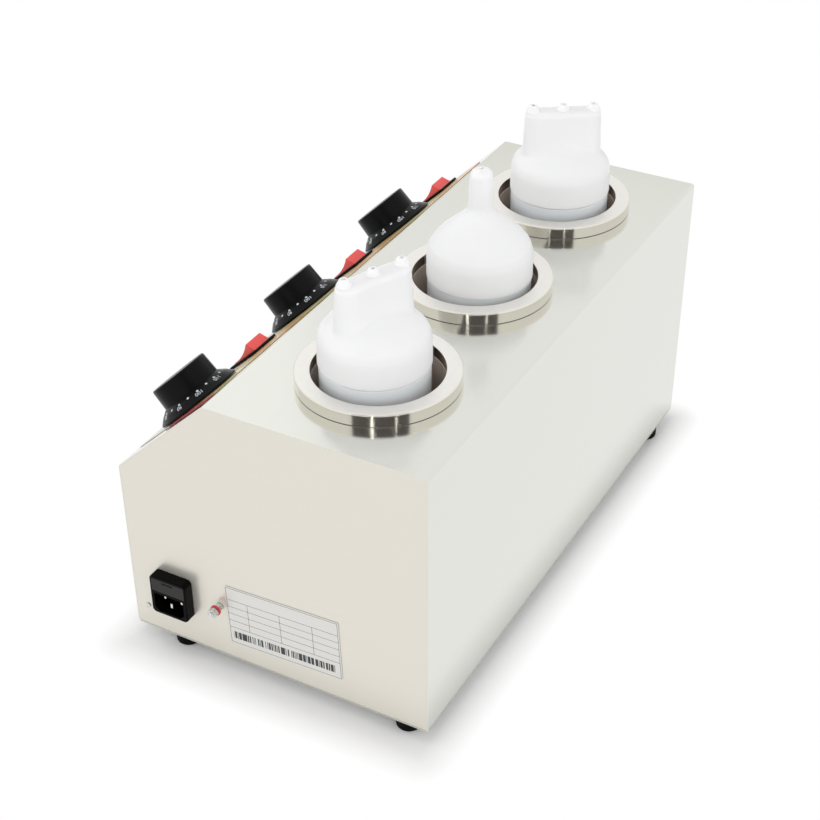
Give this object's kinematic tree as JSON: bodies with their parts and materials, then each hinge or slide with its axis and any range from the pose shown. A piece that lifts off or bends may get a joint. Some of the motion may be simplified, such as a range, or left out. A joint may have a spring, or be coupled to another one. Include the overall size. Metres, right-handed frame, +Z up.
{
  "type": "topping warmer",
  "caption": "Counter-top topping warmer: a folded steel casing with a sloped control face, collared wells for squeeze bottles, a dial and a rocker switch for each well, and a mains inlet.",
  "frame": {"origin": "centre of the outer box, on the surface the feet stand on", "axes": "+Z up, +X along the length towards the mains inlet, -Y towards the control face"},
  "size_m": [0.446, 0.235, 0.308],
  "materials": {
    "satin_steel": "satin, fine grain, soft reflections",
    "polished_steel": "mirror polished",
    "well_steel": "drawn steel, warm grey inside",
    "zinc_steel": "zinc plated",
    "nickel": "nickel plated",
    "copper": "plain copper",
    "rubber": "moulded, matt",
    "cable": "heat-proof sleeving",
    "black_plastic": "moulded, glossy",
    "grey_plastic": "moulded, satin",
    "phenolic": "moulded phenolic",
    "nylon": "moulded nylon",
    "red_plastic": "moulded, glossy red",
    "overlay": "printed film, khaki with a narrow warm border",
    "plate_foil": "silver foil, bare",
    "mica": "mica-insulated band",
    "bottle_plastic": "translucent polyethylene",
    "cap_plastic": "white polyethylene",
    "fuse_glass": "clear tube"
  },
  "bodies": {
    "casing": {"casing_shell": "satin_steel", "end_panel_inlet": "satin_steel", "end_panel_far": "satin_steel", "base_plate": "satin_steel", "foot_1": "rubber", "foot_screw_1": "zinc_steel", "foot_2": "rubber", "foot_screw_2": "zinc_steel", "foot_3": "rubber", "foot_screw_3": "zinc_steel", "foot_4": "rubber", "foot_screw_4": "zinc_steel", "control_label": "overlay", "well_cup_1": "well_steel", "collar_ring_1": "polished_steel", "heater_band_1": "mica", "thermostat_sensor_1": "copper", "thermostat_1": "phenolic", "switch_housing_1": "black_plastic", "well_cup_2": "well_steel", "collar_ring_2": "polished_steel", "heater_band_2": "mica", "thermostat_sensor_2": "copper", "thermostat_2": "phenolic", "switch_housing_2": "black_plastic", "well_cup_3": "well_steel", "collar_ring_3": "polished_steel", "heater_band_3": "mica", "thermostat_sensor_3": "copper", "thermostat_3": "phenolic", "switch_housing_3": "black_plastic", "inlet_body": "black_plastic", "inlet_pin_line": "nickel", "inlet_pin_neutral": "nickel", "inlet_pin_earth": "nickel", "bonding_stud": "zinc_steel", "bonding_lock_nut": "zinc_steel", "bonding_ring": "red_plastic", "bonding_nut": "zinc_steel", "rating_plate": "plate_foil", "end_screw": "zinc_steel", "terminal_block": "nylon", "wiring_loom": "cable"},
    "dial_1": {"dial_1": "black_plastic", "thermostat_shaft_1": "zinc_steel"},
    "rocker_1": {"rocker_1": "red_plastic"},
    "bottle_1": {"bottle_1": "bottle_plastic"},
    "cap_1": {"cap_1": "cap_plastic"},
    "dial_2": {"dial_2": "black_plastic", "thermostat_shaft_2": "zinc_steel"},
    "rocker_2": {"rocker_2": "red_plastic"},
    "bottle_2": {"bottle_2": "bottle_plastic"},
    "cap_2": {"cap_2": "cap_plastic"},
    "dial_3": {"dial_3": "black_plastic", "thermostat_shaft_3": "zinc_steel"},
    "rocker_3": {"rocker_3": "red_plastic"},
    "bottle_3": {"bottle_3": "bottle_plastic"},
    "cap_3": {"cap_3": "cap_plastic"},
    "fuse_drawer": {"fuse_drawer": "grey_plastic", "fuse": "fuse_glass"}
  },
  "joints": [
    {"name": "dial_1_turn", "type": "hinge", "parent": "casing", "child": "dial_1", "pos_m": [0.162, -0.08153, 0.18273], "axis": [0, -0.6947, 0.7193], "range_deg": [-288, 0]},
    {"name": "rocker_1_tilt", "type": "hinge", "parent": "casing", "child": "rocker_1", "pos_m": [0.096, -0.08084, 0.18202], "axis": [1, 0, 0], "range_deg": [-34, 0]},
    {"name": "bottle_1_lift", "type": "slide", "parent": "casing", "child": "bottle_1", "axis": [0, 0, 1], "range_m": [0, 0.2]},
    {"name": "cap_1_lift", "type": "slide", "parent": "bottle_1", "child": "cap_1", "axis": [0, 0, 1], "range_m": [0, 0.06]},
    {"name": "dial_2_turn", "type": "hinge", "parent": "casing", "child": "dial_2", "pos_m": [0.026, -0.08153, 0.18273], "axis": [0, -0.6947, 0.7193], "range_deg": [-288, 0]},
    {"name": "rocker_2_tilt", "type": "hinge", "parent": "casing", "child": "rocker_2", "pos_m": [-0.04, -0.08084, 0.18202], "axis": [1, 0, 0], "range_deg": [-34, 0]},
    {"name": "bottle_2_lift", "type": "slide", "parent": "casing", "child": "bottle_2", "axis": [0, 0, 1], "range_m": [0, 0.2]},
    {"name": "cap_2_lift", "type": "slide", "parent": "bottle_2", "child": "cap_2", "axis": [0, 0, 1], "range_m": [0, 0.06]},
    {"name": "dial_3_turn", "type": "hinge", "parent": "casing", "child": "dial_3", "pos_m": [-0.11, -0.08153, 0.18273], "axis": [0, -0.6947, 0.7193], "range_deg": [-288, 0]},
    {"name": "rocker_3_tilt", "type": "hinge", "parent": "casing", "child": "rocker_3", "pos_m": [-0.176, -0.08084, 0.18202], "axis": [1, 0, 0], "range_deg": [-34, 0]},
    {"name": "bottle_3_lift", "type": "slide", "parent": "casing", "child": "bottle_3", "axis": [0, 0, 1], "range_m": [0, 0.2]},
    {"name": "cap_3_lift", "type": "slide", "parent": "bottle_3", "child": "cap_3", "axis": [0, 0, 1], "range_m": [0, 0.06]},
    {"name": "fuse_drawer_slide", "type": "slide", "parent": "casing", "child": "fuse_drawer", "axis": [1, 0, 0], "range_m": [0, 0.018]}
  ]
}
